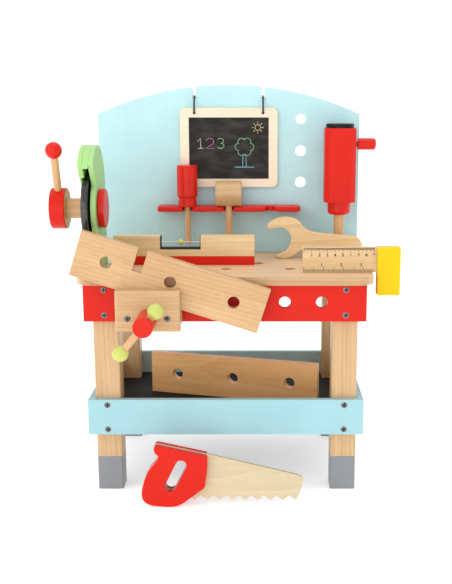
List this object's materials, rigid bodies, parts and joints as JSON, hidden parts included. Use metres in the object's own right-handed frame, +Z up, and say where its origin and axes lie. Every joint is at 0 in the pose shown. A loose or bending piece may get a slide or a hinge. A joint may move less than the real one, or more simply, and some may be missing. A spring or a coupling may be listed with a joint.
{
  "type": "toy workbench",
  "caption": "Child's wooden toy workbench: a bench with a tray, backboard, screw vise and crank grinder, and pegged tools, chalkboard and planks that lift off.",
  "frame": {"origin": "on the floor, under the middle of the whole set's outer box", "axes": "+X to the right as a child faces the bench, +Y to the back, +Z up"},
  "size_m": [0.4479, 0.3551, 0.525],
  "materials": {
    "beech": "smooth sanded beech, thin clear lacquer",
    "dowel": "turned beech dowel, clear lacquer",
    "birch_ply": "pale birch plywood, clear lacquer",
    "plank_wood": "planed beech plank",
    "dark_plank_wood": "planed beech plank, warmer tone",
    "red_paint": "satin red lacquer over wood",
    "blue_paint": "satin pale blue lacquer over board",
    "green_paint": "satin leaf green lacquer over wood",
    "lime_paint": "satin lime lacquer over turned wood",
    "yellow_paint": "satin yellow lacquer over wood",
    "charcoal_paint": "matt charcoal lacquer over board",
    "slate_paint": "matt blackboard paint",
    "black_gloss": "glossy black lacquer",
    "steel": "zinc plated steel",
    "black_cord": "braided black cord"
  },
  "bodies": {
    "bench": {"leg_front_left": "beech", "leg_front_right": "beech", "leg_rear_left": "beech", "leg_rear_right": "beech", "front_apron": "red_paint", "rear_rail": "red_paint", "side_apron_left": "red_paint", "side_apron_right": "red_paint", "tabletop": "beech", "backboard": "blue_paint", "tool_rack": "red_paint", "tray_front": "blue_paint", "tray_rear": "blue_paint", "tray_left": "blue_paint", "tray_right": "blue_paint", "tray_floor": "charcoal_paint", "apron_screws": "steel", "tray_screws": "steel", "fixed_jaw": "beech", "grinder_cheek_left": "green_paint", "grinder_cheek_right": "green_paint", "grinder_hood": "green_paint"},
    "vise_slide": {"moving_jaw": "beech", "guide_rods": "dowel", "jaw_screws": "steel"},
    "vise_turner": {"vise_knob": "red_paint", "vise_screw": "dowel"},
    "vise_bar": {"vise_handle": "dowel", "handle_balls": "lime_paint"},
    "grinder_rotor": {"grinder_wheel": "black_gloss", "grinder_axle": "dowel", "crank_hub": "red_paint", "axle_spacer": "dowel", "hub_cap": "red_paint", "crank_dowel": "dowel", "crank_ball": "red_paint"},
    "chalkboard": {"chalkboard_frame": "birch_ply", "chalkboard_slate": "slate_paint", "hanging_cord": "black_cord"},
    "screwdriver": {"screwdriver_handle": "red_paint", "screwdriver_shaft": "dowel"},
    "hammer": {"hammer_head": "beech", "hammer_handle": "dowel"},
    "drill": {"drill_body": "red_paint", "drill_cap": "black_gloss", "drill_nose": "red_paint", "drill_bit": "dowel"},
    "drill_button": {"drill_trigger": "red_paint"},
    "spanner": {"wrench": "birch_ply"},
    "try_square": {"square_ruler": "birch_ply", "square_stock": "yellow_paint"},
    "level": {"level_body": "birch_ply", "level_base": "red_paint", "level_wire": "steel"},
    "bubble": {"level_bead": "lime_paint"},
    "saw": {"saw_blade": "birch_ply", "saw_cheek_front": "red_paint", "saw_cheek_rear": "red_paint"},
    "clamped_plank": {"vise_plank": "plank_wood"},
    "loose_plank": {"tray_plank": "dark_plank_wood"}
  },
  "joints": [
    {"name": "jaw_slide", "type": "slide", "parent": "bench", "child": "vise_slide", "axis": [0, -1, 0], "range_m": [0, 0.03]},
    {"name": "knob_turn", "type": "hinge", "parent": "vise_slide", "child": "vise_turner", "pos_m": [-0.094, -0.15, 0.243], "axis": [0, -1, 0], "range_deg": [0, 1350]},
    {"name": "bar_slide", "type": "slide", "parent": "vise_turner", "child": "vise_bar", "axis": [0.6428, 0, 0.766], "range_m": [0, 0.0225]},
    {"name": "grinder_spin", "type": "hinge", "parent": "bench", "child": "grinder_rotor", "pos_m": [-0.19, -0.036, 0.369], "axis": [1, 0, 0], "continuous": true},
    {"name": "chalkboard_lift", "type": "slide", "parent": "bench", "child": "chalkboard", "axis": [0, 0, 1], "range_m": [0, 0.05]},
    {"name": "screwdriver_lift", "type": "slide", "parent": "bench", "child": "screwdriver", "axis": [0, 0, 1], "range_m": [0, 0.08]},
    {"name": "hammer_lift", "type": "slide", "parent": "bench", "child": "hammer", "axis": [0, 0, 1], "range_m": [0, 0.08]},
    {"name": "drill_lift", "type": "slide", "parent": "bench", "child": "drill", "axis": [0, 0, 1], "range_m": [0, 0.12]},
    {"name": "button_press", "type": "slide", "parent": "drill", "child": "drill_button", "axis": [-1, 0, 0], "range_m": [0, 0.003], "stiffness_N_per_m": 150},
    {"name": "spanner_lift", "type": "slide", "parent": "bench", "child": "spanner", "axis": [0, 0, 1], "range_m": [0, 0.035]},
    {"name": "square_lift", "type": "slide", "parent": "bench", "child": "try_square", "axis": [0, 0, 1], "range_m": [0, 0.05]},
    {"name": "level_lift", "type": "slide", "parent": "bench", "child": "level", "axis": [0, 0, 1], "range_m": [0, 0.05]},
    {"name": "bubble_slide", "type": "slide", "parent": "level", "child": "bubble", "axis": [1, 0, 0], "range_m": [-0.022, 0.022]},
    {"name": "saw_lift", "type": "slide", "parent": "bench", "child": "saw", "axis": [0, 0, 1], "range_m": [0, 0.06]},
    {"name": "clamped_plank_lift", "type": "slide", "parent": "bench", "child": "clamped_plank", "axis": [0, 0, 1], "range_m": [0, 0.04]},
    {"name": "loose_plank_lift", "type": "slide", "parent": "bench", "child": "loose_plank", "axis": [0, 0, 1], "range_m": [0, 0.06]}
  ],
  "couplings": [
    {"joint": "jaw_slide", "follows": "knob_turn", "m_per_rad": 0.0012732}
  ]
}
